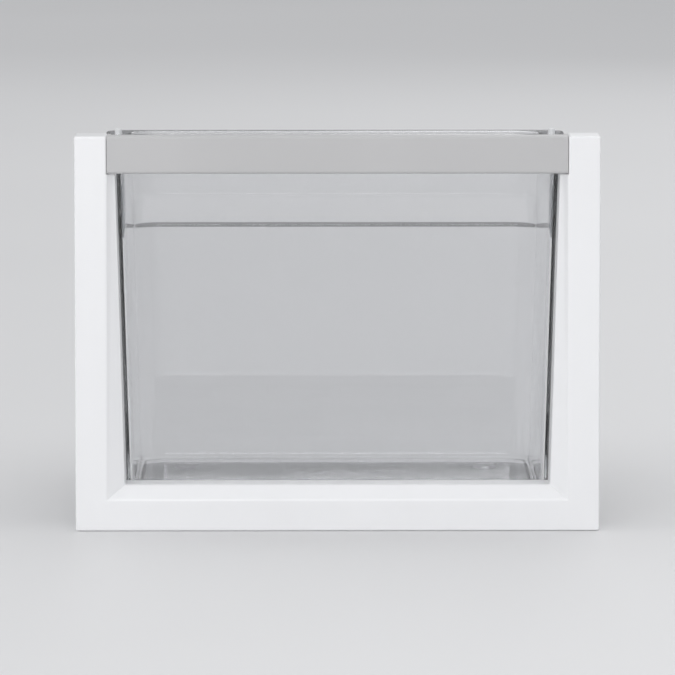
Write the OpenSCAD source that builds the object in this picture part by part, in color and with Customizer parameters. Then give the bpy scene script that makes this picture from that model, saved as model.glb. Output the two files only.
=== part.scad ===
// Refrigerator bin: a clear tub behind a white front frame with a grey pull rail,
// hung on a pair of three-member ball-bearing runners that bolt to the cabinet's side walls.
// X runs across the bin, the front faces -Y and Z is up. The origin is at the middle of
// the underside. Everything is in millimetres.

/* [Front] */
// Width of the front frame
front_w = 344; // [340:1:400]
// Height of the front frame
front_h = 260; // [255:1:320]
// Depth of the frame, from its face to the tub's front wall
frame_d = 30; // [28:1:36]
// Width of the flat face beside and below the window
face_w = 21; // [20:1:26]
// Height of the pull rail across the top
pull_h = 25; // [20:1:30]

/* [Tub] */
// Depth of the whole bin, from the face to the rear rim
bin_d = 350; // [340:1:420]
// Wall thickness of the tub
wall = 2.4; // [2:0.2:3]
// How far the lower part of the rear wall steps forward
rear_step = 18; // [10:1:30]
// Width of the rim that carries the tub on its brackets
rim_w = 16; // [14:1:16]

/* [Runners] */
// How far the bin pulls out
travel = 290; // [200:10:300]
// Number of balls in each row of a cage
balls_per_row = 5; // [3:1:6]
// Distance between the two screws that hold each runner to the cabinet wall
wall_screw_pitch = 224; // [160, 192, 224]

/* [Hidden] */
$fn = 48;
eps = 0.1;

// Front frame. Distances named _u are measured sideways from the middle plane.
half_w = front_w / 2;
skin = 2.5;
face_u = half_w - face_w;
bevel_d = 7;
head_z = front_h - pull_h;
head_u = face_u - 5.5;
sill_u = face_u - 11.5;
sill_z = face_w + 9;
side_slope = (head_u - sill_u) / (head_z - sill_z);
rib_t = 1.6;
rib_back = 24;
post_rib_z = [75, 145, 200];
sill_rib_x = [-130, -50, 50, 130];
boss_r = 4.2;
post_screw_z = [40, 110, 180];
sill_screw_x = [-90, 0, 90];
post_screw_u = half_w - skin - 8;
sill_screw_z = skin + 12;

// Screws
pilot_r = 1.5;
shank_r = 1.45;
hole_r = 1.8;
screw_head_r = 3.4;
screw_head_t = 1.9;
frame_screw_l = 14;
pull_screw_l = 12;

// Pull rail
pull_gap = 0.2;
pull_face_y = 1;
pull_t = 2.8;
pull_return = 15;
pull_bead_r = 2.2;
pull_end_t = 2.4;
pull_lug_y = [23.5, 26.5];
pull_lug_h = 14;
pull_lug_z = front_h - 19;
pull_lug_u = half_w - 5;
pull_screw_u = face_u + 9;
pull_screw_z = pull_lug_z + pull_lug_h / 2;

// Tub
tub_top_z = head_z + 1.5;
rim_t = 2.5;
rim_z = tub_top_z - rim_t;
rim_u = head_u + rim_w;
lip_h = 10.5;
lip_t = 2;
floor_z = 3;
floor_t = 2.6;
floor_chamfer = 4;
tub_front_r = 6;
tub_rear_r = 20;
rim_rear_r = 14;
tub_rear_y = bin_d - 8;
step_low_z = 171;
step_high_z = 190;
corner_steps = 8;
flange_u = half_w - 5;
foot_r = 8;
foot_x = 105;
foot_y = [62, 292];

// Runners. Profiles are drawn as [distance from the cabinet wall, height from the rail's middle].
mount_u = half_w - 1;
rail_z = 205;
rail_half_h = 17.5;
sheet = 1.2;
runner_t = 12.7;
ball_r = 1.5;
race_r = 1.6;
outer_ball = [5.6, 14.8];
inner_ball = [6.4, 9.7];
cage_t = 0.5;
outer_rail_y = [36, bin_d - 2];
middle_rail_y = [44, bin_d - 16];
inner_rail_y = [40, bin_d - 14];
bumper_y = [bin_d - 13, bin_d - 3];
// Each cage moves half as far as the rail it drives and stays inside both rails all the way.
cage_l = middle_rail_y[1] - outer_rail_y[0] - travel / 2 - 33;
outer_cage_y = (outer_rail_y[0] + middle_rail_y[1] - cage_l) / 2;
inner_cage_y = (middle_rail_y[0] + inner_rail_y[1] - cage_l) / 2;
ball_pitch = cage_l / balls_per_row;
wall_screw_r = 2.6;
wall_screw_sink_r = 3.6;
wall_screw_sink = 0.8;
wall_screw_y = [outer_rail_y[0] + 37, outer_rail_y[0] + 37 + wall_screw_pitch];

// Brackets between the inner rails and the tub's rim
bracket_t = 1.3;
bracket_u = mount_u - runner_t;
ledge_z = rim_z - 0.3;
ledge_w = 10.3;
bracket_y = [42, bin_d - 16];
rivet_y = [70, 190, 310];
rivet_r = 2.4;
rivet_head_r = 4;
rivet_head_t = 1;
peg_u = bracket_u - 5.8;
peg_r = 2.5;
peg_y = [60, 318];
peg_top_z = 240;
peg_hole_r = 3;
peg_slot_l = 5;

function side_u(z) = sill_u + (z - sill_z) * side_slope;

// ---------- helpers ----------

// Moves a piece drawn with its front at y = 0 to its place about the origin.
module placed() {
    translate([0, -bin_d / 2, 0]) children();
}

// Extrudes a profile drawn in (x, z) from y = range[0] to y = range[1].
module along_y(range) {
    translate([0, range[1], 0]) rotate([90, 0, 0]) linear_extrude(range[1] - range[0]) children();
}

// Extrudes a profile drawn in (y, z) from x = range[0] to x = range[1].
module along_x(range) {
    translate([range[0], 0, 0]) rotate([90, 0, 90]) linear_extrude(range[1] - range[0]) children();
}

module rod_y(x, z, r, range) {
    translate([x, range[0], z]) rotate([-90, 0, 0]) cylinder(r = r, h = range[1] - range[0]);
}

module rod_x(y, z, r, range) {
    translate([range[0], y, z]) rotate([0, 90, 0]) cylinder(r = r, h = range[1] - range[0]);
}

module left_side() {
    mirror([1, 0, 0]) children();
}

module both_sides() {
    children();
    left_side() children();
}

// Puts a runner profile's [0, 0] at the right-hand cabinet wall, at the rail's middle height.
module on_wall() {
    translate([mount_u, 0, rail_z]) mirror([1, 0, 0]) children();
}

module top_and_bottom() {
    children();
    mirror([0, 1]) children();
}

// ---------- front frame ----------

module window_outline(grow = 0) {
    top = front_h + 5;
    polygon([
        [-sill_u - grow, sill_z - grow], [sill_u + grow, sill_z - grow],
        [side_u(top) + grow, top], [-side_u(top) - grow, top]
    ]);
}

module pull_notch_outline(grow = 0) {
    translate([-face_u - grow, head_z - grow]) square([2 * (face_u + grow), pull_h + grow + 5]);
}

module frame_outline(inset = 0) {
    translate([-half_w + inset, inset]) square([front_w - 2 * inset, front_h - 2 * inset]);
}

// The slope between the flat face and the window's straight sides.
module window_bevel() {
    hull() {
        along_y([-eps, 0]) translate([-face_u, face_w]) square([2 * face_u, front_h]);
        along_y([bevel_d, bevel_d + eps]) window_outline();
    }
}

module frame_pockets() {
    along_y([skin, frame_d + eps]) difference() {
        frame_outline(skin);
        translate([-face_u - skin, face_w - skin]) square([2 * (face_u + skin), front_h]);
    }
    along_y([bevel_d + skin, frame_d + eps]) difference() {
        frame_outline(skin);
        window_outline(skin);
        pull_notch_outline(skin);
    }
}

module frame_ribs() {
    for (z = post_rib_z) translate([-half_w, 0, z]) cube([front_w, rib_back, rib_t]);
    for (x = sill_rib_x) translate([x, 0, 0]) cube([rib_t, rib_back, sill_z]);
    for (x = sill_screw_x) rod_y(x, sill_screw_z, boss_r, [0, frame_d]);
    both_sides() {
        for (z = post_screw_z) rod_y(post_screw_u, z, boss_r, [0, frame_d]);
        rod_y(pull_screw_u, pull_screw_z, boss_r, [0, pull_lug_y[0]]);
    }
}

module frame_pilot_holes() {
    range = [frame_d - frame_screw_l, frame_d + eps];
    for (x = sill_screw_x) rod_y(x, sill_screw_z, pilot_r, range);
    both_sides() {
        for (z = post_screw_z) rod_y(post_screw_u, z, pilot_r, range);
        rod_y(pull_screw_u, pull_screw_z, pilot_r, [pull_lug_y[1] - pull_screw_l - 1, pull_lug_y[0] + eps]);
        translate([face_u - eps, pull_lug_y[0] - pull_gap, pull_lug_z - pull_gap])
            cube([skin + 2 * eps, frame_d, pull_lug_h + 2 * pull_gap]);
    }
}

module front_frame() {
    color("#eceef0") difference() {
        along_y([0, frame_d]) frame_outline();
        along_y([-eps, frame_d + eps]) window_outline();
        along_y([-eps, frame_d + eps]) pull_notch_outline();
        window_bevel();
        difference() {
            frame_pockets();
            frame_ribs();
        }
        frame_pilot_holes();
    }
}

module frame_screws() {
    head = [frame_d + wall, frame_d + wall + screw_head_t];
    shank = [frame_d - frame_screw_l + 2, frame_d + wall];
    color("silver") {
        for (x = sill_screw_x) {
            rod_y(x, sill_screw_z, screw_head_r, head);
            rod_y(x, sill_screw_z, shank_r, shank);
        }
        both_sides() for (z = post_screw_z) {
            rod_y(post_screw_u, z, screw_head_r, head);
            rod_y(post_screw_u, z, shank_r, shank);
        }
    }
}

// ---------- pull rail ----------

module pull_profile() {
    bottom = head_z + 0.4;
    translate([pull_face_y, bottom]) square([pull_t, front_h - bottom]);
    translate([pull_face_y, front_h - pull_t]) square([pull_return, pull_t]);
    translate([pull_face_y + pull_bead_r, bottom + pull_bead_r]) circle(pull_bead_r);
    translate([pull_face_y + pull_bead_r, bottom]) square([pull_bead_r, pull_bead_r]);
}

module pull_rail() {
    end_u = face_u - pull_gap;
    color("#bfc0c2") difference() {
        union() {
            along_x([-end_u, end_u]) pull_profile();
            both_sides() {
                translate([end_u - pull_end_t, pull_face_y, head_z + 2])
                    cube([pull_end_t, pull_lug_y[1] - pull_face_y, pull_h - 2]);
                translate([end_u - pull_end_t, pull_lug_y[0], pull_lug_z])
                    cube([pull_lug_u - end_u + pull_end_t, pull_lug_y[1] - pull_lug_y[0], pull_lug_h]);
            }
        }
        both_sides() rod_y(pull_screw_u, pull_screw_z, hole_r, [pull_lug_y[0] - eps, pull_lug_y[1] + eps]);
    }
}

module pull_screws() {
    seat = pull_lug_y[1];
    color("silver") both_sides() {
        rod_y(pull_screw_u, pull_screw_z, screw_head_r, [seat, seat + screw_head_t]);
        rod_y(pull_screw_u, pull_screw_z, shank_r, [seat - pull_screw_l, seat]);
    }
}

// ---------- tub ----------

function arc(centre, r, from) = [
    for (i = [0:corner_steps]) let (a = from + 90 * i / corner_steps) centre + r * [cos(a), sin(a)]
];

// The tub's plan outline at height z, counter-clockwise. inset draws in its sides and rear.
function plan(z, front_y, rear_y, inset) = let (
    u = side_u(z) - inset,
    rf = max(tub_front_r - inset, 1),
    rr = tub_rear_r - inset,
    front = front_y + rf,
    rear = rear_y - inset - rr
) concat(
    arc([-u + rf, front], rf, 180), arc([u - rf, front], rf, 270),
    arc([u - rr, rear], rr, 0), arc([-u + rr, rear], rr, 90)
);

// Rings up the outside of the tub and down its inside: [height, front face, rear face, inset].
tub_front_y = frame_d + wall;
tub_low_y = tub_rear_y - rear_step;
tub_rings = [
    [floor_z, frame_d, tub_low_y, floor_chamfer],
    [floor_z + floor_chamfer, frame_d, tub_low_y, 0],
    [step_low_z, frame_d, tub_low_y, 0],
    [step_high_z, frame_d, tub_rear_y, 0],
    [tub_top_z, frame_d, tub_rear_y, 0],
    [tub_top_z, tub_front_y, tub_rear_y, wall],
    [step_high_z + 1.5, tub_front_y, tub_rear_y, wall],
    [step_low_z + 1.5, tub_front_y, tub_low_y, wall],
    [floor_z + floor_t + floor_chamfer, tub_front_y, tub_low_y, wall],
    [floor_z + floor_t, tub_front_y + floor_chamfer, tub_low_y, wall + floor_chamfer]
];

module tub_shell() {
    ring_n = 4 * (corner_steps + 1);
    last = len(tub_rings) - 1;
    points = [for (r = tub_rings) for (p = plan(r[0], r[1], r[2], r[3])) [p[0], p[1], r[0]]];
    walls = [
        for (k = [0:last - 1]) for (i = [0:ring_n - 1])
            let (j = (i + 1) % ring_n, a = k * ring_n, b = a + ring_n) [a + i, b + i, b + j, a + j]
    ];
    bottom = [[for (i = [0:ring_n - 1]) i]];
    top_of_floor = [[for (i = [ring_n - 1:-1:0]) last * ring_n + i]];
    polyhedron(points, concat(walls, bottom, top_of_floor));
}

module rim_outline(inset = 0) {
    u = rim_u - inset;
    rear = bin_d - inset;
    r = rim_rear_r - inset;
    difference() {
        union() {
            translate([-u, frame_d]) square([2 * u, rear - r - frame_d]);
            translate([-u + r, rear - 2 * r]) square([2 * (u - r), 2 * r]);
            for (s = [-1, 1]) translate([s * (u - r), rear - r]) circle(r);
        }
        children();
    }
}

module tub() {
    color("#dfe3e6", 0.35) difference() {
        union() {
            tub_shell();
            translate([0, 0, rim_z]) linear_extrude(rim_t)
                rim_outline() polygon(plan(tub_top_z, frame_d + wall / 2, tub_rear_y, wall / 2));
            translate([0, 0, tub_top_z - lip_h]) linear_extrude(lip_h)
                rim_outline() translate([0, -eps]) rim_outline(lip_t);
            translate([-flange_u, frame_d, floor_z]) cube([2 * flange_u, wall, rim_z - floor_z + eps]);
            for (s = [-1, 1]) for (y = foot_y)
                translate([s * foot_x, y, 0]) cylinder(r = foot_r, h = floor_z + 1);
        }
        tub_holes();
    }
}

module tub_holes() {
    range = [frame_d - eps, frame_d + wall + eps];
    for (x = sill_screw_x) rod_y(x, sill_screw_z, hole_r, range);
    both_sides() {
        for (z = post_screw_z) rod_y(post_screw_u, z, hole_r, range);
        translate([peg_u, peg_y[0], rim_z - eps]) cylinder(r = peg_hole_r, h = rim_t + 2 * eps);
        for (d = [-1, 1]) translate([peg_u, peg_y[1] + d * peg_slot_l / 2, rim_z - eps])
            cylinder(r = peg_hole_r, h = rim_t + 2 * eps);
        translate([peg_u - peg_hole_r, peg_y[1] - peg_slot_l / 2, rim_z - eps])
            cube([2 * peg_hole_r, peg_slot_l, rim_t + 2 * eps]);
    }
}

// ---------- runners, drawn for the right-hand side ----------

module outer_profile() {
    top_and_bottom() difference() {
        union() {
            square([sheet, rail_half_h]);
            translate([0, rail_half_h - sheet]) square([8.4, sheet]);
            translate([0, outer_ball[1] - 0.4]) intersection() {
                translate([outer_ball[0], 0.4]) circle(2.7);
                square([10, 5]);
            }
            translate([7.2, outer_ball[1] - 0.9]) square([sheet, 3.6]);
        }
        translate(outer_ball) circle(race_r);
    }
}

module middle_profile() {
    top_and_bottom() difference() {
        union() {
            translate([2.2, 0]) square([sheet, 13.4]);
            translate([2.2, 11]) square([7, 2.4]);
            translate([8, 9.2]) square([sheet, 4.2]);
        }
        translate(outer_ball) circle(race_r);
        translate(inner_ball) circle(race_r);
    }
}

module inner_profile() {
    top_and_bottom() difference() {
        union() {
            translate([runner_t - sheet, 0]) square([sheet, 8.3]);
            translate([4.7, 7.1]) square([runner_t - 4.7, sheet]);
        }
        translate(inner_ball) circle(race_r);
    }
}

module outer_rail() {
    color("#b9bcbf") difference() {
        union() {
            on_wall() along_y(outer_rail_y) outer_profile();
            on_wall() translate([sheet - eps, outer_rail_y[0], -5]) cube([0.7, 3, 10]);
        }
        for (y = wall_screw_y) {
            rod_x(y, rail_z, wall_screw_r, [mount_u - sheet - eps, mount_u + eps]);
            translate([mount_u - sheet - 0.01, y, rail_z]) rotate([0, 90, 0])
                cylinder(r1 = wall_screw_sink_r, r2 = wall_screw_r, h = wall_screw_sink);
        }
    }
}

module rear_bumper() {
    color("#4c4f52") on_wall() difference() {
        translate([sheet, bumper_y[0], -11]) cube([9.6, bumper_y[1] - bumper_y[0], 22]);
        translate([sheet + 2.4, bumper_y[0] - eps, -8.5]) cube([4.8, 6, 17]);
    }
}

module middle_rail() {
    color("#c3c6c9") on_wall() along_y(middle_rail_y) middle_profile();
}

module inner_rail() {
    color("#cdd0d2") difference() {
        on_wall() along_y(inner_rail_y) inner_profile();
        for (y = rivet_y) rod_x(y, rail_z, rivet_r + 0.05, [bracket_u - eps, bracket_u + sheet + eps]);
    }
}

// A row of places for balls, half a pitch in from each end of a cage that starts at y.
function ball_row(y) = [for (i = [0:balls_per_row - 1])
    y + cage_l / 2 + (i - (balls_per_row - 1) / 2) * ball_pitch];

module ball_cage(y, ball, web_p, tip_p) {
    flange_v = ball[1] - 1.2;
    out_v = flange_v + cage_t;
    color("#e8c35a") on_wall() difference() {
        along_y([y, y + cage_l]) difference() {
            translate([web_p, -out_v]) square([tip_p - web_p, 2 * out_v]);
            translate([web_p + cage_t, -flange_v]) square([tip_p, 2 * flange_v]);
        }
        for (by = ball_row(y)) translate([ball[0], by, -flange_v - 2])
            cylinder(r = 1.45, h = 2 * flange_v + 4);
    }
}

module ball_set(y, ball) {
    color("#d8dadc") on_wall() for (by = ball_row(y)) for (s = [-1, 1])
        translate([ball[0], by, s * ball[1]]) sphere(ball_r);
}

module bracket() {
    web_x = bracket_u - bracket_t;
    color("#d4d7d9") difference() {
        union() {
            translate([web_x, bracket_y[0], rail_z - 8])
                cube([bracket_t, bracket_y[1] - bracket_y[0], ledge_z - rail_z + 8]);
            translate([bracket_u - ledge_w, bracket_y[0], ledge_z - bracket_t])
                cube([ledge_w, bracket_y[1] - bracket_y[0], bracket_t]);
        }
        for (y = rivet_y) rod_x(y, rail_z, rivet_r + 0.05, [web_x - eps, bracket_u + eps]);
        for (y = peg_y) translate([peg_u, y, ledge_z - bracket_t - eps])
            cylinder(r = peg_r + 0.05, h = bracket_t + 2 * eps);
    }
}

module rivets() {
    outer_end = bracket_u + sheet;
    inner_end = bracket_u - bracket_t;
    color("silver") for (y = rivet_y) {
        rod_x(y, rail_z, rivet_r, [inner_end, outer_end]);
        rod_x(y, rail_z, rivet_head_r, [outer_end, outer_end + rivet_head_t]);
        rod_x(y, rail_z, rivet_head_r, [inner_end - rivet_head_t, inner_end]);
    }
}

module pegs() {
    collar_z = ledge_z - bracket_t - 1;
    color("white") for (y = peg_y) translate([peg_u, y, 0]) {
        translate([0, 0, collar_z]) cylinder(r = 4, h = 1);
        translate([0, 0, collar_z + 1]) cylinder(r = peg_r, h = peg_top_z - 1 - collar_z - 1);
        translate([0, 0, peg_top_z - 1]) cylinder(r1 = peg_r, r2 = peg_r - 0.8, h = 1);
    }
}

// ---------- what is drawn ----------

module runner_piece(name) {
    if (name == "outer_rail") outer_rail();
    if (name == "rear_bumper") rear_bumper();
    if (name == "outer_cage") ball_cage(outer_cage_y, outer_ball, 1.45, 7);
    if (name == "outer_balls") ball_set(outer_cage_y, outer_ball);
    if (name == "middle_rail") middle_rail();
    if (name == "inner_cage") ball_cage(inner_cage_y, inner_ball, 3.65, 7.9);
    if (name == "inner_balls") ball_set(inner_cage_y, inner_ball);
    if (name == "inner_rail") inner_rail();
    if (name == "bracket") bracket();
    if (name == "rivets") rivets();
    if (name == "pegs") pegs();
}

runner_pieces = [
    "outer_rail", "rear_bumper", "outer_cage", "outer_balls", "middle_rail", "inner_cage",
    "inner_balls", "inner_rail", "bracket", "rivets", "pegs"
];

placed() tub();
placed() front_frame();
placed() pull_rail();
placed() frame_screws();
placed() pull_screws();
for (piece = runner_pieces) {
    placed() left_side() runner_piece(piece);
    placed() runner_piece(piece);
}
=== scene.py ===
"""The looks of the refrigerator bin: a clear tub behind a white front frame, on ball-bearing runners.

Everything is in metres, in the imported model's frame: X across, the front faces -Y, Z up.
"""
import math

import bmesh
import bpy
from mathutils import Matrix, Vector


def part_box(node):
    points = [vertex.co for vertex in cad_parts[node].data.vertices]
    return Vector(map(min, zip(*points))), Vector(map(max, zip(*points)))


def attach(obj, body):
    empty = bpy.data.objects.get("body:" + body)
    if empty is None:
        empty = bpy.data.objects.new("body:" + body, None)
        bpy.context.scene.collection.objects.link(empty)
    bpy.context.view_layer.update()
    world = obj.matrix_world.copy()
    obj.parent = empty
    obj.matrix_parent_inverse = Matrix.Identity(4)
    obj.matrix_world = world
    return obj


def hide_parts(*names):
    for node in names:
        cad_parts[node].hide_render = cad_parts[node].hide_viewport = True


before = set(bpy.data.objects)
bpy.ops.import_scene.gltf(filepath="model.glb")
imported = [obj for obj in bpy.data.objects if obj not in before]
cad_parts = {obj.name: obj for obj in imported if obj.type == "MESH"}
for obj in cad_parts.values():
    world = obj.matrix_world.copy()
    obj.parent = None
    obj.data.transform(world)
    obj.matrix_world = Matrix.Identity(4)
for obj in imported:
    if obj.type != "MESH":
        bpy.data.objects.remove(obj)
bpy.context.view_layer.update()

MM = 0.001
SCENE = bpy.context.scene

# ---------- where things are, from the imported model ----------

FRAME_LO, FRAME_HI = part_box("front_frame")
TUB_LO, TUB_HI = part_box("tub")
PULL_LO, PULL_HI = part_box("pull_rail")
FRONT_Y = FRAME_LO.y
HALF_W = FRAME_HI.x
TOP_Z = FRAME_HI.z
WALL_Y = FRAME_HI.y

# ---------- sizes of the mouldings ----------

FACE_W = 21 * MM
PULL_H = 25 * MM
BEVEL_D = 7 * MM
FACE_U = HALF_W - FACE_W
HEAD_Z = TOP_Z - PULL_H
HEAD_U = FACE_U - 5.5 * MM
SILL_U = FACE_U - 11.5 * MM
SILL_Z = FACE_W + 9 * MM
SIDE_SLOPE = (HEAD_U - SILL_U) / (HEAD_Z - SILL_Z)
FRAME_EDGE_R = 1.3 * MM
WALL = 2.4 * MM
WALL_FRONT_R = 6 * MM
WALL_REAR_R = 20 * MM
WALL_EDGE_R = 0.8 * MM
REAR_STEP = 18 * MM
STEP_Z = (171 * MM, 190 * MM)
REAR_BASE = 12 * MM
FLOOR_Z = 3 * MM
FLOOR_T = 2.6 * MM
FLOOR_R = 4 * MM
RIM_T = 2.5 * MM
RIM_W = 16 * MM
RIM_REAR_W = 8 * MM
RIM_REAR_R = 14 * MM
RIM_EDGE_R = 1.0 * MM
RIM_ROOT_R = 1.5 * MM
LIP_H = 10.5 * MM
LIP_T = 2 * MM
SCREW_HOLE_R = 1.8 * MM
SCREW_STEPS = 32
PEG_HOLE_R = 3 * MM
PEG_SLOT = 5 * MM
PEG_HOLE_STEPS = 48
PULL_LUG_T = 3 * MM
CORNER_STEPS = 14
ROUND_STEPS = 5
HAIR = 0.03 * MM
MERGE = 0.002 * MM

# The feet: where they stand across and behind the front, and radius and height in millimetres.
FOOT_X = (-105 * MM, 105 * MM)
FOOT_Y = (62 * MM, 292 * MM)
FOOT_PROFILE = [(0, 0), (6.4, 0), (7.4, 0.3), (8, 1.0), (8, 4), (0, 4)]

# The pull rail's section: depth, height and corner radius in millimetres.
PULL_SECTION = [
    (0, 0, 1.8), (0, 24.6, 1.5), (15, 24.6, 1.0), (15, 21.8, 1.0),
    (2.8, 21.8, 1.6), (2.8, 5.2, 1.2), (4.6, 3.0, 1.0), (4.6, 0, 0.9),
]


def side_u(z):
    """Half the width of the window and of the tub at height z."""
    return SILL_U + (z - SILL_Z) * SIDE_SLOPE


# ---------- node materials ----------


def material(name, base, roughness, metallic=0.0, **inputs):
    """A Principled material; inputs are set on the shader's own sockets."""
    m = bpy.data.materials.new(name)
    m.use_nodes = True
    shader = m.node_tree.nodes["Principled BSDF"]
    shader.inputs["Base Color"].default_value = (*base, 1)
    shader.inputs["Roughness"].default_value = roughness
    shader.inputs["Metallic"].default_value = metallic
    for key, value in inputs.items():
        shader.inputs[key.replace("_", " ")].default_value = value
    return m, m.node_tree, shader


def object_coordinates(tree, scale=(1, 1, 1)):
    coord = tree.nodes.new("ShaderNodeTexCoord")
    mapping = tree.nodes.new("ShaderNodeMapping")
    mapping.inputs["Scale"].default_value = scale
    tree.links.new(coord.outputs["Object"], mapping.inputs["Vector"])
    return mapping.outputs["Vector"]


def noise(tree, vector, scale, detail=3.0, roughness=0.5):
    n = tree.nodes.new("ShaderNodeTexNoise")
    n.inputs["Scale"].default_value = scale
    n.inputs["Detail"].default_value = detail
    n.inputs["Roughness"].default_value = roughness
    tree.links.new(vector, n.inputs["Vector"])
    return n.outputs["Fac"]


def ramp(tree, fac, low, high, at=(0.3, 0.7)):
    """A colour ramp from low to high, each a colour or a grey number."""
    n = tree.nodes.new("ShaderNodeValToRGB")
    for element, place, value in zip(n.color_ramp.elements, at, (low, high)):
        element.position = place
        element.color = (*value, 1) if isinstance(value, tuple) else (value, value, value, 1)
    tree.links.new(fac, n.inputs["Fac"])
    return n.outputs["Color"]


def bump(tree, shader, height, distance, strength=1.0, after=None):
    n = tree.nodes.new("ShaderNodeBump")
    n.inputs["Strength"].default_value = strength
    n.inputs["Distance"].default_value = distance
    tree.links.new(height, n.inputs["Height"])
    if after is not None:
        tree.links.new(after, n.inputs["Normal"])
    tree.links.new(n.outputs["Normal"], shader.inputs["Normal"])
    return n.outputs["Normal"]


def moulded_plastic(name, low, high, roughness, texture, coat=0.0):
    """Opaque moulded plastic: a fine spark-eroded texture over very slow waves, with faint flow marks."""
    m, tree, shader = material(name, high, roughness[0], IOR=1.5, Coat_Weight=coat, Coat_Roughness=0.2)
    vector = object_coordinates(tree)
    flow = noise(tree, object_coordinates(tree, (9, 9, 3)), 1.0, 4.0)
    tree.links.new(ramp(tree, flow, low, high), shader.inputs["Base Color"])
    wipe = noise(tree, vector, 38, 5.0, 0.6)
    tree.links.new(ramp(tree, wipe, roughness[0], roughness[1]), shader.inputs["Roughness"])
    waves = bump(tree, shader, noise(tree, vector, 14, 2.0), 0.25 * MM, 0.25)
    bump(tree, shader, noise(tree, vector, 2600, 2.0), texture, 0.6, after=waves)
    return m


def zinc_plate(name, base, streak=(260, 3, 260)):
    """Zinc-plated rolled strip: bright, with drawn streaks along Y and a slightly cloudy finish."""
    m, tree, shader = material(name, base, 0.3, 1.0, Anisotropic=0.35)
    streaks = noise(tree, object_coordinates(tree, streak), 1.0, 5.0, 0.6)
    cloud = noise(tree, object_coordinates(tree), 55, 4.0, 0.6)
    darker = tuple(0.86 * c for c in base)
    tree.links.new(ramp(tree, cloud, darker, base), shader.inputs["Base Color"])
    tree.links.new(ramp(tree, streaks, 0.24, 0.42), shader.inputs["Roughness"])
    bump(tree, shader, streaks, 0.012 * MM, 0.5)
    return m


def clear_plastic(name):
    """Clear styrene: it refracts, darkens a little along its length, and lets the lamps' light through;
    its grey colour is partly its own smoke grey and partly painted shade, standing in for the shaded
    cabinet around the bin.
    """
    # The grey base colour is partly smoke-grey plastic and partly painted shade of the cabinet the bin
    # sits in.
    m, tree, shader = material(name, (0.85, 0.853, 0.862), 0.02, IOR=1.5, Transmission_Weight=1.0)
    vector = object_coordinates(tree)
    bump(tree, shader, noise(tree, vector, 9, 2.0), 0.35 * MM, 0.12)
    lamp = tree.nodes.new("ShaderNodeLightPath")
    open_way = tree.nodes.new("ShaderNodeBsdfTransparent")
    open_way.inputs["Color"].default_value = (0.88, 0.885, 0.89, 1)
    mix = tree.nodes.new("ShaderNodeMixShader")
    output = tree.nodes["Material Output"]
    tree.links.new(lamp.outputs["Is Shadow Ray"], mix.inputs["Fac"])
    tree.links.new(shader.outputs["BSDF"], mix.inputs[1])
    tree.links.new(open_way.outputs["BSDF"], mix.inputs[2])
    tree.links.new(mix.outputs["Shader"], output.inputs["Surface"])
    # The absorption colour is partly the plastic's own smoke grey and partly painted shade.
    tint_and_painted_shade = tree.nodes.new("ShaderNodeVolumeAbsorption")
    tint_and_painted_shade.inputs["Color"].default_value = (0.77, 0.785, 0.8, 1)
    tint_and_painted_shade.inputs["Density"].default_value = 3
    tree.links.new(tint_and_painted_shade.outputs["Volume"], output.inputs["Volume"])
    return m


def rubber(name):
    m, tree, shader = material(name, (0.03, 0.03, 0.032), 0.6)
    vector = object_coordinates(tree)
    tree.links.new(ramp(tree, noise(tree, vector, 160), 0.5, 0.75), shader.inputs["Roughness"])
    bump(tree, shader, noise(tree, vector, 1800, 3.0), 0.03 * MM)
    return m


def polished_steel(name):
    m, tree, shader = material(name, (0.8, 0.81, 0.82), 0.08, 1.0)
    film = noise(tree, object_coordinates(tree), 420, 2.0)
    tree.links.new(ramp(tree, film, 0.05, 0.16), shader.inputs["Roughness"])
    return m


def studio_floor(name):
    m, tree, shader = material(name, (0.8, 0.8, 0.8), 0.55)
    mottle = noise(tree, object_coordinates(tree), 0.7, 2.0)
    colour = ramp(tree, mottle, (0.69, 0.69, 0.695), (0.72, 0.72, 0.725))
    tree.links.new(colour, shader.inputs["Base Color"])
    return m


WHITE = moulded_plastic(
    "white_plastic", (0.82, 0.823, 0.835), (0.85, 0.853, 0.865), (0.3, 0.4), 0.014 * MM, 0.15
)
GREY = moulded_plastic(
    "grey_plastic", (0.475, 0.473, 0.477), (0.505, 0.503, 0.507), (0.38, 0.5), 0.02 * MM
)
CLEAR = clear_plastic("clear_plastic")
CAGE = moulded_plastic("cage_plastic", (0.55, 0.54, 0.49), (0.6, 0.59, 0.54), (0.4, 0.55), 0.02 * MM)
PEG = moulded_plastic("peg_plastic", (0.72, 0.73, 0.74), (0.76, 0.77, 0.78), (0.35, 0.45), 0.01 * MM)
RUBBER = rubber("bumper_rubber")
RAIL = zinc_plate("runner_steel", (0.62, 0.64, 0.66))
SCREW = zinc_plate("screw_steel", (0.7, 0.71, 0.72), (300, 300, 300))
BALL = polished_steel("ball_steel")

# ---------- mesh helpers ----------


def new_object(name, bm):
    mesh = bpy.data.meshes.new(name)
    bmesh.ops.recalc_face_normals(bm, faces=bm.faces)
    bm.to_mesh(mesh)
    bm.free()
    ob = bpy.data.objects.new(name, mesh)
    SCENE.collection.objects.link(ob)
    return ob


def bake(ob):
    """Turns an object's modifiers into its mesh."""
    graph = bpy.context.evaluated_depsgraph_get()
    mesh = bpy.data.meshes.new_from_object(ob.evaluated_get(graph))
    ob.modifiers.clear()
    ob.data = mesh


def combine(ob, other, operation, solver="MANIFOLD"):
    """Joins, cuts or intersects ob with other, and removes other."""
    m = ob.modifiers.new("combine", "BOOLEAN")
    m.operation = operation
    m.solver = solver
    m.object = other
    bake(ob)
    bpy.data.objects.remove(other)


def round_edges(ob, width, segments, angle=30.0):
    """Rounds the edges that are sharper than angle, in degrees."""
    m = ob.modifiers.new("round_edges", "BEVEL")
    m.width = width
    m.segments = segments
    m.limit_method = "ANGLE"
    m.angle_limit = math.radians(angle)
    m.use_clamp_overlap = True


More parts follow.
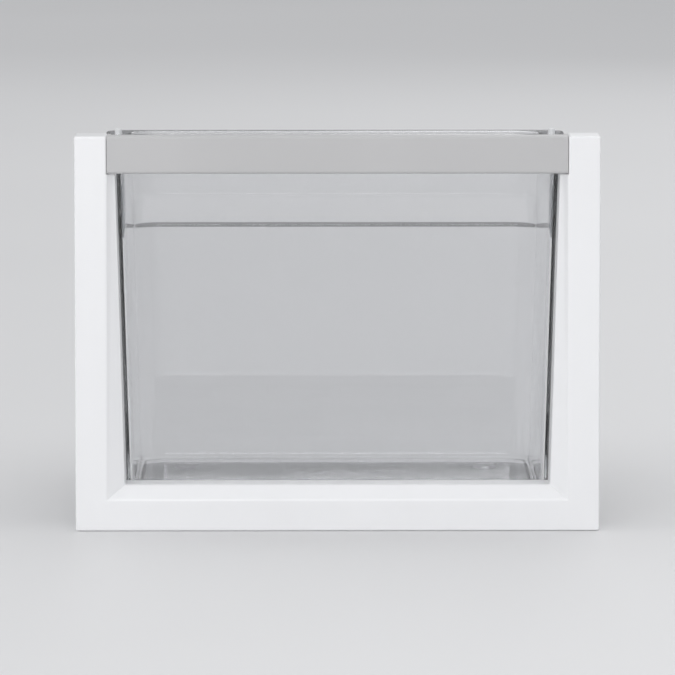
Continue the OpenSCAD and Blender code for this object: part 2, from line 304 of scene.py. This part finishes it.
def tidy(ob, flat=0.0, merge=MERGE):
    """Merges the slivers that joining leaves and, if flat is given in degrees, flat neighbours."""
    bm = bmesh.new()
    bm.from_mesh(ob.data)
    bmesh.ops.remove_doubles(bm, verts=bm.verts, dist=merge)
    bmesh.ops.dissolve_degenerate(bm, edges=bm.edges, dist=MERGE / 2)
    if flat:
        bmesh.ops.dissolve_limit(bm, angle_limit=math.radians(flat), verts=bm.verts, edges=bm.edges)
    bm.to_mesh(ob.data)
    bm.free()


def finish_piece(ob, mat, body, nodes, smooth):
    """Shades, paints and mounts a finished piece; edges sharper than smooth, in degrees, stay sharp."""
    ob.data.materials.clear()
    ob.data.materials.append(mat)
    for p in ob.data.polygons:
        p.use_smooth = True
        p.material_index = 0
    ob.data.set_sharp_from_angle(angle=math.radians(smooth))
    normals = ob.modifiers.new("normals", "WEIGHTED_NORMAL")
    normals.keep_sharp = True
    normals.weight = 80
    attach(ob, body)
    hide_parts(*nodes)


def loft(rings, caps=True):
    """Quads between closed rings of points that all have the same count."""
    bm = bmesh.new()
    rows = [[bm.verts.new(p) for p in ring] for ring in rings]
    n = len(rows[0])
    for a, b in zip(rows, rows[1:]):
        for i in range(n):
            j = (i + 1) % n
            bm.faces.new((a[i], a[j], b[j], b[i]))
    if caps:
        bm.faces.new(rows[0])
        bm.faces.new(rows[-1])
    return bm


def box_mesh(lo, hi):
    bm = bmesh.new()
    bmesh.ops.create_cube(bm, size=1)
    lo, hi = Vector(lo), Vector(hi)
    for v in bm.verts:
        v.co = Vector(((lo[i] + hi[i]) / 2 + v.co[i] * (hi[i] - lo[i])) for i in range(3))
    return bm


def box_object(lo, hi, rounding, segments):
    ob = new_object("box", box_mesh(lo, hi))
    round_edges(ob, rounding, segments)
    bake(ob)
    return ob


def fillet(points, radii, segments):
    """Rounds the corners of a 2-D outline, each by its own radius; a radius of 0 leaves its point."""
    n = len(points)
    out = []
    for i, p in enumerate(points):
        p, r = Vector(p), radii[i]
        if r <= 0:
            out.append(p)
            continue
        to_a = (Vector(points[i - 1]) - p).normalized()
        to_b = (Vector(points[(i + 1) % n]) - p).normalized()
        half = math.acos(max(-1, min(1, to_a.dot(to_b)))) / 2
        centre = p + (to_a + to_b).normalized() * (r / math.sin(half))
        a, b = p + to_a * (r / math.tan(half)), p + to_b * (r / math.tan(half))
        start, sweep = a - centre, (a - centre).angle_signed(b - centre)
        for k in range(segments + 1):
            turn = -sweep * k / segments
            c, s = math.cos(turn), math.sin(turn)
            out.append(centre + Vector((start.x * c - start.y * s, start.x * s + start.y * c)))
    return out


def lathe(profile, axis, at, steps=40):
    """Turns a profile of (radius, height) about an axis through at; the first and last radii are 0."""
    turn = Vector((0, 0, 1)).rotation_difference(Vector(axis)).to_matrix()
    rings = []
    for r, h in profile[1:-1]:
        ring = []
        for i in range(steps):
            a = 2 * math.pi * i / steps
            ring.append(Vector(at) + turn @ Vector((r * math.cos(a), r * math.sin(a), h)))
        rings.append(ring)
    bm = loft(rings, caps=False)
    bm.verts.ensure_lookup_table()
    for ring, (_, h) in ((0, profile[0]), (len(rings) - 1, profile[-1])):
        tip = bm.verts.new(Vector(at) + turn @ Vector((0, 0, h)))
        bm.verts.ensure_lookup_table()
        for i in range(steps):
            a, b = bm.verts[ring * steps + i], bm.verts[ring * steps + (i + 1) % steps]
            bm.faces.new((a, b, tip))
    return bm


def islands(node):
    """The box of each separate solid of a CAD node, as (lowest corner, highest corner)."""
    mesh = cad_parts[node].data
    key = [tuple(round(c * 1e6) for c in v.co) for v in mesh.vertices]
    parent = {k: k for k in key}

    def root(k):
        while parent[k] != k:
            parent[k] = parent[parent[k]]
            k = parent[k]
        return k

    for e in mesh.edges:
        parent[root(key[e.vertices[0]])] = root(key[e.vertices[1]])
    groups = {}
    for k, v in zip(key, mesh.vertices):
        groups.setdefault(root(k), []).append(v.co)
    boxes = []
    for points in groups.values():
        lo = Vector(min(p[i] for p in points) for i in range(3))
        hi = Vector(max(p[i] for p in points) for i in range(3))
        boxes.append((lo, hi))
    return sorted(boxes, key=lambda b: tuple(round(c, 5) for c in b[0]))


def joined(name, meshes):
    """One object from several bmeshes."""
    bm = bmesh.new()
    for part in meshes:
        scratch = bpy.data.meshes.new("scratch")
        part.to_mesh(scratch)
        part.free()
        bm.from_mesh(scratch)
        bpy.data.meshes.remove(scratch)
    return new_object(name, bm)


def cad_copy(node):
    """A copy of a CAD node's mesh with its split vertices merged, to cut with."""
    bm = bmesh.new()
    bm.from_mesh(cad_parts[node].data)
    bmesh.ops.remove_doubles(bm, verts=bm.verts, dist=MERGE / 4)
    return new_object(node + "_copy", bm)


def drill(ob, node, start_y, depth):
    """Drills a hole along Y for each screw of a node."""
    hole = [(0, 0), (SCREW_HOLE_R, 0), (SCREW_HOLE_R, depth), (0, depth)]
    for lo, hi in islands(node):
        centre = (lo + hi) / 2
        at = (centre.x, start_y, centre.z)
        combine(ob, new_object("hole", lathe(hole, (0, 1, 0), at, SCREW_STEPS)), "DIFFERENCE")


# ---------- tub ----------


def arc(x, y, r, start, z):
    """A quarter circle at height z, from the angle start in degrees."""
    points = []
    for i in range(CORNER_STEPS + 1):
        a = math.radians(start + 90 * i / CORNER_STEPS)
        points.append((x + r * math.cos(a), y + r * math.sin(a), z))
    return points


def tub_plan(z, front_y, rear_y, inset):
    """The tub's outline at height z, drawn in by inset at its sides."""
    u = side_u(z) - inset
    rf = max(WALL_FRONT_R - inset, 1 * MM)
    rr = WALL_REAR_R - inset
    front, rear = front_y + rf, rear_y - rr
    return (
        arc(-u + rf, front, rf, 180, z)
        + arc(u - rf, front, rf, 270, z)
        + arc(u - rr, rear, rr, 0, z)
        + arc(-u + rr, rear, rr, 90, z)
    )


def quarter(r, k):
    """How far a quarter round of radius r has still to go in, and has gone up, at step k."""
    a = math.pi / 2 * k / ROUND_STEPS
    return r * (1 - math.sin(a)), r * (1 - math.cos(a))


def tub_shell():
    """Rings up the tub's outside, over its upper edge and down its inside."""
    top = TUB_HI.z
    high = TUB_HI.y - RIM_REAR_W
    low = high - REAR_STEP
    front = WALL_Y + HAIR
    edge = WALL_EDGE_R
    rings = []
    for k in range(ROUND_STEPS + 1):
        into, up = quarter(FLOOR_R, k)
        rings.append(tub_plan(FLOOR_Z + up, front, low - into, into))
    outside = [(low, FLOOR_Z + REAR_BASE), (low, STEP_Z[0]), (high, STEP_Z[1]), (high, top - edge)]
    for y, z in fillet(outside, [0, 4 * MM, 3 * MM, 0], 6):
        rings.append(tub_plan(z, front, y, 0))
    for k in range(1, 5):
        a = math.pi / 2 * k / 4
        into, down = edge * (1 - math.cos(a)), edge * (1 - math.sin(a))
        rings.append(tub_plan(top - down, front + into, high - into, into))
    for k in range(5):
        a = math.pi / 2 * k / 4
        into, down = WALL - edge * (1 - math.sin(a)), edge * (1 - math.cos(a))
        rings.append(tub_plan(top - down, WALL_Y + into, high - into, into))
    inner_low, inner_high = low - WALL, high - WALL
    inside = [
        (inner_high, top - 2 * edge),
        (inner_high, STEP_Z[1] + 1.5 * MM),
        (inner_low, STEP_Z[0] + 1.5 * MM),
        (inner_low, FLOOR_Z + FLOOR_T + REAR_BASE),
    ]
    for y, z in fillet(inside, [0, 3 * MM, 4 * MM, 0], 6):
        rings.append(tub_plan(z, WALL_Y + WALL, y, WALL))
    for k in range(ROUND_STEPS, -1, -1):
        into, up = quarter(FLOOR_R, k)
        z = FLOOR_Z + FLOOR_T + up
        rings.append(tub_plan(z, WALL_Y + WALL + into, inner_low - into, WALL + into))
    return rings


def rim_rows():
    """The rim and its turned-down lip, as one section swept round three sides."""
    top = TUB_HI.z - HAIR
    under = TUB_HI.z - RIM_T
    low = TUB_HI.z - LIP_H
    start = WALL_Y + HAIR

    def path(u, r, rear, z):
        left = [(-u, start, z)] + arc(-u + r, rear - r, r, 90, z)[::-1]
        right = arc(u - r, rear - r, r, 0, z)[::-1] + [(u, start, z)]
        return left + right

    def rim_path(inset, z):
        return path(HEAD_U + RIM_W - inset, RIM_REAR_R - inset, TUB_HI.y - inset, z)

    def tub_path(inset, z):
        return path(side_u(z) - inset, WALL_REAR_R - inset, TUB_HI.y - RIM_REAR_W - inset, z)

    edge, root = RIM_EDGE_R, RIM_ROOT_R
    section = [tub_path(WALL / 2, top)]
    for k in range(6):
        a = math.pi / 2 * k / 5
        section.append(rim_path(edge * (1 - math.sin(a)), top - edge * (1 - math.cos(a))))
    for k in range(5):
        a = math.pi * k / 4
        section.append(rim_path(LIP_T / 2 * (1 - math.cos(a)), low + LIP_T / 2 * (1 - math.sin(a))))
    for k in range(5):
        a = math.pi / 2 * k / 4
        section.append(rim_path(LIP_T + edge * (1 - math.cos(a)), under - edge * (1 - math.sin(a))))
    for k in range(5):
        a = math.pi / 2 * k / 4
        section.append(tub_path(-root * (1 - math.sin(a)), under - root * (1 - math.cos(a))))
    section.append(tub_path(WALL / 2, under - root))
    return [list(ring) for ring in zip(*section)]


def tub():
    ob = new_object("tub_moulding", loft(tub_shell()))
    combine(ob, new_object("rim", loft(rim_rows())), "UNION")
    plate_lo = (TUB_LO.x, WALL_Y, FLOOR_Z)
    plate_hi = (TUB_HI.x, WALL_Y + WALL - HAIR, TUB_HI.z - RIM_T + 0.1 * MM)
    combine(ob, box_object(plate_lo, plate_hi, 0.5 * MM, 3), "UNION")
    foot = [(r * MM, h * MM) for r, h in FOOT_PROFILE]
    for x in FOOT_X:
        for y in FOOT_Y:
            combine(ob, new_object("foot", lathe(foot, (0, 0, 1), (x, FRONT_Y + y, 0))), "UNION")
    drill(ob, "frame_screws", WALL_Y - 0.8 * MM, 4 * MM)
    for node in ("left_pegs", "right_pegs"):
        for lo, hi in islands(node):
            centre = (lo + hi) / 2
            long = PEG_SLOT if centre.y > 0 else 0
            combine(ob, peg_hole(centre.x, centre.y, long), "DIFFERENCE")
    tidy(ob, 0.05)
    finish_piece(ob, CLEAR, "bin", ("tub",), 38)


def peg_hole(x, y, long):
    """A round hole through the rim, or a slot that is longer by long."""
    rings = []
    for z in (TUB_HI.z - RIM_T - 2 * MM, TUB_HI.z + 1 * MM):
        ring = []
        for i in range(PEG_HOLE_STEPS):
            a = 2 * math.pi * (i + 0.5) / PEG_HOLE_STEPS
            shift = long / 2 if math.sin(a) > 0 else -long / 2
            ring.append((x + PEG_HOLE_R * math.cos(a), y + PEG_HOLE_R * math.sin(a) + shift, z))
        rings.append(ring)
    return new_object("peg_hole", loft(rings))


# ---------- front frame ----------


def frame_block():
    """The frame as a solid block: flat faces, a slope to the window, and a notch for the pull rail."""
    g = HAIR
    front, slope_y, back = FRONT_Y + g, FRONT_Y + BEVEL_D, WALL_Y - g
    w, t = HALF_W - g, TOP_Z - g
    bm = bmesh.new()
    point = {}

    def v(side, u, y, z):
        """The vertex at a place on the left (-1) or right (1) side, made once."""
        key = (round(side * u, 7), round(y, 7), round(z, 7))
        if key not in point:
            point[key] = bm.verts.new(key)
        return point[key]

    low, high = (FACE_U, front, FACE_W), (FACE_U, front, HEAD_Z)
    sill, head = (SILL_U, slope_y, SILL_Z), (HEAD_U, slope_y, HEAD_Z)
    sill_back, head_back = (SILL_U, back, SILL_Z), (HEAD_U, back, HEAD_Z)
    notch_top, notch_top_back, notch_back = (FACE_U, front, t), (FACE_U, back, t), (FACE_U, back, HEAD_Z)
    foot, top, foot_back, top_back = (w, front, g), (w, front, t), (w, back, g), (w, back, t)
    post = [
        [low, foot, top, notch_top, high],
        [low, high, head, sill],
        [sill, head, head_back, sill_back],
        [high, notch_back, head_back, head],
        [high, notch_top, notch_top_back, notch_back],
        [notch_top, top, top_back, notch_top_back],
        [foot, foot_back, top_back, top],
        [sill_back, head_back, notch_back, notch_top_back, top_back, foot_back],
    ]
    for s in (-1, 1):
        for face in post:
            corners = [v(s, *p) for p in face]
            bm.faces.new(corners if s > 0 else corners[::-1])
    across = [(foot, low), (low, sill), (sill, sill_back), (sill_back, foot_back), (foot_back, foot)]
    for a, b in across:
        bm.faces.new([v(-1, *a), v(1, *a), v(1, *b), v(-1, *b)])
    return bm


def front_frame():
    ob = new_object("front_frame_moulding", frame_block())
    round_edges(ob, FRAME_EDGE_R, 4, 20)
    bake(ob)
    combine(ob, cad_copy("front_frame"), "INTERSECT", "EXACT")
    tidy(ob, merge=0.01 * MM)
    finish_piece(ob, WHITE, "bin", ("front_frame",), 34)


# ---------- pull rail ----------


def pull_rail():
    y0, z0, z1 = PULL_LO.y, PULL_LO.z, PULL_HI.z
    corners = [(a * MM, b * MM) for a, b, _ in PULL_SECTION]
    points = fillet(corners, [r * MM for _, _, r in PULL_SECTION], 5)
    end = FACE_U - 0.2 * MM
    rings = [[(x, y0 + p.x, z0 + p.y) for p in points] for x in (-end, end)]
    ob = new_object("pull_rail_moulding", loft(rings))
    round_edges(ob, 0.3 * MM, 2, 50)
    bake(ob)
    lug_y = (PULL_HI.y - PULL_LUG_T, PULL_HI.y)
    for s in (-1, 1):
        plate = sorted((s * (end - 2.4 * MM), s * (end - HAIR)))
        plate_lo = (plate[0], y0 + 0.7 * MM, z0 + 1.6 * MM)
        plate_hi = (plate[1], lug_y[1], z1 - 0.3 * MM)
        lug = sorted((s * (end - 1.2 * MM), s * (PULL_HI.x - HAIR)))
        lug_lo = (lug[0], lug_y[0], z0 + 5.6 * MM)
        lug_hi = (lug[1], lug_y[1] - HAIR, z0 + 19.6 * MM)
        for lo, hi in ((plate_lo, plate_hi), (lug_lo, lug_hi)):
            combine(ob, box_object(lo, hi, 0.5 * MM, 2), "UNION")
    drill(ob, "pull_screws", lug_y[0] - 1 * MM, 5 * MM)
    tidy(ob)
    finish_piece(ob, GREY, "bin", ("pull_rail",), 34)


# ---------- fasteners ----------


def screw(lo, hi):
    """A pan-head cross-recess screw along +Y, its head at hi.y."""
    centre = (lo + hi) / 2
    head_r, head_h = (hi.x - lo.x) / 2, 1.9 * MM
    length = hi.y - lo.y
    shank = length - head_h
    r, root, pitch = 1.45 * MM, 1.1 * MM, 1.3 * MM
    profile = [(0, 0), (0.25 * MM, 0.1 * MM), (root, 1.6 * MM)]
    z = 1.6 * MM
    while z + pitch < shank - 1.0 * MM:
        profile += [(root, z + 0.45 * pitch), (r, z + 0.62 * pitch), (root, z + 0.8 * pitch)]
        z += pitch
    profile += [(root, z + 0.3 * MM), (r, shank - 0.4 * MM), (r, shank)]
    profile += [(0.86 * head_r, shank), (0.97 * head_r, shank + 0.1 * MM)]
    profile += [(head_r, shank + 0.4 * MM), (0.97 * head_r, shank + 0.85 * MM)]
    for k in range(1, 6):
        a = math.radians(14 + 76 * k / 6)
        dome = shank + 0.6 * MM + (head_h - 0.6 * MM) * math.sin(a)
        profile.append((0.97 * head_r * math.cos(a) ** 0.9, dome))
    profile.append((0, shank + head_h))
    ob = new_object("screw", lathe(profile, (0, 1, 0), (centre.x, lo.y, centre.z), SCREW_STEPS))
    depth, arm, slot, twist = 1.25 * MM, 1.75 * MM, 0.36 * MM, 17
    for turn in (twist, twist + 90):
        bm = box_mesh((-arm, -depth, -slot), (arm, depth, slot))
        for p in bm.verts:
            if p.co.y < 0:
                p.co.x *= 0.35
                p.co.z *= 0.8
        spin = Matrix.Rotation(math.radians(turn), 4, "Y")
        place = Matrix.Translation((centre.x, hi.y, centre.z))
        bmesh.ops.transform(bm, matrix=place @ spin, verts=bm.verts)
        combine(ob, new_object("slot", bm), "DIFFERENCE")
    tidy(ob)
    out = bmesh.new()
    out.from_mesh(ob.data)
    bpy.data.objects.remove(ob)
    return out


def screws(node):
    ob = joined(node + "_detail", [screw(lo, hi) for lo, hi in islands(node)])
    finish_piece(ob, SCREW, "bin", (node,), 30)


def rivet(lo, hi, outward):
    """A domed rivet along X, with its set end towards the middle of the bin."""
    centre = (lo + hi) / 2
    r, dome, length = (hi.y - lo.y) / 2, 1.0 * MM, hi.x - lo.x
    shank = 2.4 * MM
    angles = [math.radians(a) for a in (74, 56, 38, 20, 2)]
    cap = [(r * math.cos(a), dome - dome * math.sin(a) ** 0.8) for a in angles]
    profile = [(0, 0)] + cap + [(r, dome)]
    profile += [(shank, dome), (shank, length - dome), (r * 0.92, length - dome)]
    profile += [(r * 0.92, length - dome + 0.25 * MM), (r * 0.8, length - 0.35 * MM)]
    profile += [(1.9 * MM, length - 0.1 * MM), (1.5 * MM, length - 0.1 * MM)]
    profile += [(1.2 * MM, length - 0.9 * MM), (0, length - 1.2 * MM)]
    start = hi.x if outward > 0 else lo.x
    return lathe(profile, (-outward, 0, 0), (start, centre.y, centre.z), 36)


def rivets(side, outward):
    node = side + "_rivets"
    ob = joined(node + "_detail", [rivet(lo, hi, outward) for lo, hi in islands(node)])
    finish_piece(ob, SCREW, side + "_runner", (node,), 30)


# ---------- CAD nodes that stay ----------


def repaint(node, mat, rounding):
    """Paints a CAD node, closes its split vertices and, if rounding is given, rounds its edges."""
    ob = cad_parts[node]
    if not ob.material_slots:
        ob.data.materials.append(mat)
    for s in ob.material_slots:
        s.material = mat
    weld = ob.modifiers.new("weld", "WELD")
    weld.merge_threshold = MERGE / 2
    if rounding:
        round_edges(ob, rounding, 2, 40)
        normals = ob.modifiers.new("normals", "WEIGHTED_NORMAL")
        normals.keep_sharp = True


# ---------- build ----------

tub()
front_frame()
pull_rail()
screws("frame_screws")
screws("pull_screws")
for side, outward in (("left", -1), ("right", 1)):
    rivets(side, outward)
    for part, mat, rounding in (
        ("outer_rail", RAIL, 0.25 * MM),
        ("middle_rail", RAIL, 0.25 * MM),
        ("inner_rail", RAIL, 0.25 * MM),
        ("bracket", RAIL, 0.3 * MM),
        ("outer_cage", CAGE, 0),
        ("inner_cage", CAGE, 0),
        ("outer_balls", BALL, 0),
        ("inner_balls", BALL, 0),
        ("pegs", PEG, 0.2 * MM),
        ("rear_bumper", RUBBER, 0.5 * MM),
    ):
        repaint(side + "_" + part, mat, rounding)

# ---------- studio ----------

FLOOR_HALF = 14
BOUNCES = 32
LENS = 328
CAMERA_AT = (-0.022, FRONT_Y - 4.0, 0.583)
CAMERA_AIM = (0, FRONT_Y, TOP_Z / 2 - 2 * MM)


def area_light(name, at, target, size, power):
    data = bpy.data.lights.new(name, "AREA")
    data.shape = "RECTANGLE"
    data.size, data.size_y = size
    data.energy = power
    ob = bpy.data.objects.new(name, data)
    ob.location = at
    ob.rotation_euler = (Vector(target) - Vector(at)).to_track_quat("-Z", "Y").to_euler()
    SCENE.collection.objects.link(ob)


def studio():
    """A pale floor, a sky that darkens to the horizon, and soft area lights."""
    bm = bmesh.new()
    bmesh.ops.create_grid(bm, x_segments=8, y_segments=8, size=FLOOR_HALF)
    bmesh.ops.translate(bm, verts=bm.verts, vec=(0, 0, -0.1 * MM))
    floor = new_object("studio_floor", bm)
    floor.data.materials.append(studio_floor("studio_floor"))

    world = bpy.data.worlds.new("studio")
    SCENE.world = world
    world.use_nodes = True
    tree = world.node_tree
    background = tree.nodes["Background"]
    direction = tree.nodes.new("ShaderNodeTexCoord")
    split = tree.nodes.new("ShaderNodeSeparateXYZ")
    tree.links.new(direction.outputs["Generated"], split.inputs["Vector"])
    sky = ramp(tree, split.outputs["Z"], (0.24, 0.243, 0.25), (0.75, 0.758, 0.775), (0.0, 0.5))
    tree.links.new(sky, background.inputs["Color"])
    background.inputs["Strength"].default_value = 0.75

    middle = (0, 0, 0.12)
    area_light("ceiling", (0, 3, 4.5), (0, 3, 0), (10, 10), 105)
    area_light("top", (0, -0.3, 2.6), middle, (5, 4), 12)
    area_light("front", (-0.5, -3.7, 1.15), middle, (2.6, 1.2), 54)
    area_light("back", (1.2, 3.4, 1.7), middle, (2.4, 1.6), 12)
    area_light("left", (-2.4, -0.6, 1.0), middle, (1.0, 1.6), 7)
    area_light("right", (2.4, -0.4, 1.0), middle, (1.0, 1.6), 5)


def camera():
    """The photograph's viewing angle: from in front, 6.5 degrees above and far away."""
    data = bpy.data.cameras.new("camera")
    data.lens = LENS
    data.clip_start, data.clip_end = 0.05, 100
    ob = bpy.data.objects.new("camera", data)
    ob.location = CAMERA_AT
    ob.rotation_euler = (Vector(CAMERA_AIM) - ob.location).to_track_quat("-Z", "Y").to_euler()
    SCENE.collection.objects.link(ob)
    SCENE.camera = ob


studio()
camera()
SCENE.view_settings.view_transform = "Standard"
SCENE.cycles.max_bounces = BOUNCES
SCENE.cycles.glossy_bounces = BOUNCES
SCENE.cycles.transmission_bounces = BOUNCES
